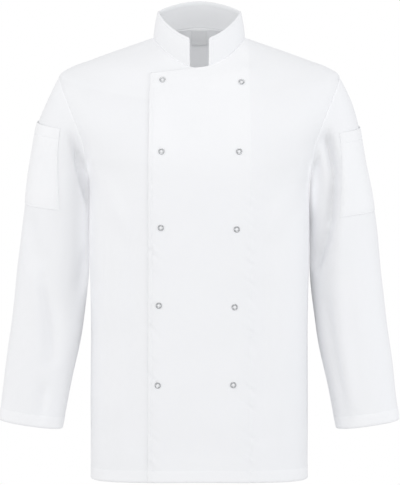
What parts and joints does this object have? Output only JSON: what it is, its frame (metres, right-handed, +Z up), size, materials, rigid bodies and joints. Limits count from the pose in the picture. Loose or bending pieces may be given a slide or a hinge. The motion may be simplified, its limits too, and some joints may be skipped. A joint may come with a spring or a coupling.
{
  "type": "chef jacket",
  "caption": "Double-breasted chef jacket, long-sleeved, with a stand collar, press studs and sleeve pockets, in the hollow shape it keeps when worn.",
  "frame": {"origin": "middle of the neck opening at the height of the shoulder's highest point, where the wearer carries the jacket", "axes": "+Z up, -Y towards the jacket's front, +X towards the wearer's left side"},
  "size_m": [0.7202, 0.2604, 0.8572],
  "materials": {
    "white_cloth": "matte polyester and cotton twill",
    "label_cloth": "matte woven tape",
    "stud_metal": "bright nickel plate"
  },
  "bodies": {
    "root": {"back": "white_cloth", "front_left_over": "white_cloth", "front_right_under": "white_cloth", "collar": "white_cloth", "sleeve_left": "white_cloth", "sleeve_right": "white_cloth", "sleeve_pocket_left": "white_cloth", "sleeve_pocket_right": "white_cloth", "neck_label": "label_cloth", "stud_right_1": "stud_metal", "stud_right_2": "stud_metal", "stud_right_3": "stud_metal", "stud_right_4": "stud_metal", "stud_right_5": "stud_metal", "stud_left_1": "stud_metal", "stud_left_2": "stud_metal", "stud_left_3": "stud_metal", "stud_left_4": "stud_metal", "stud_left_5": "stud_metal"}
  },
  "joints": []
}
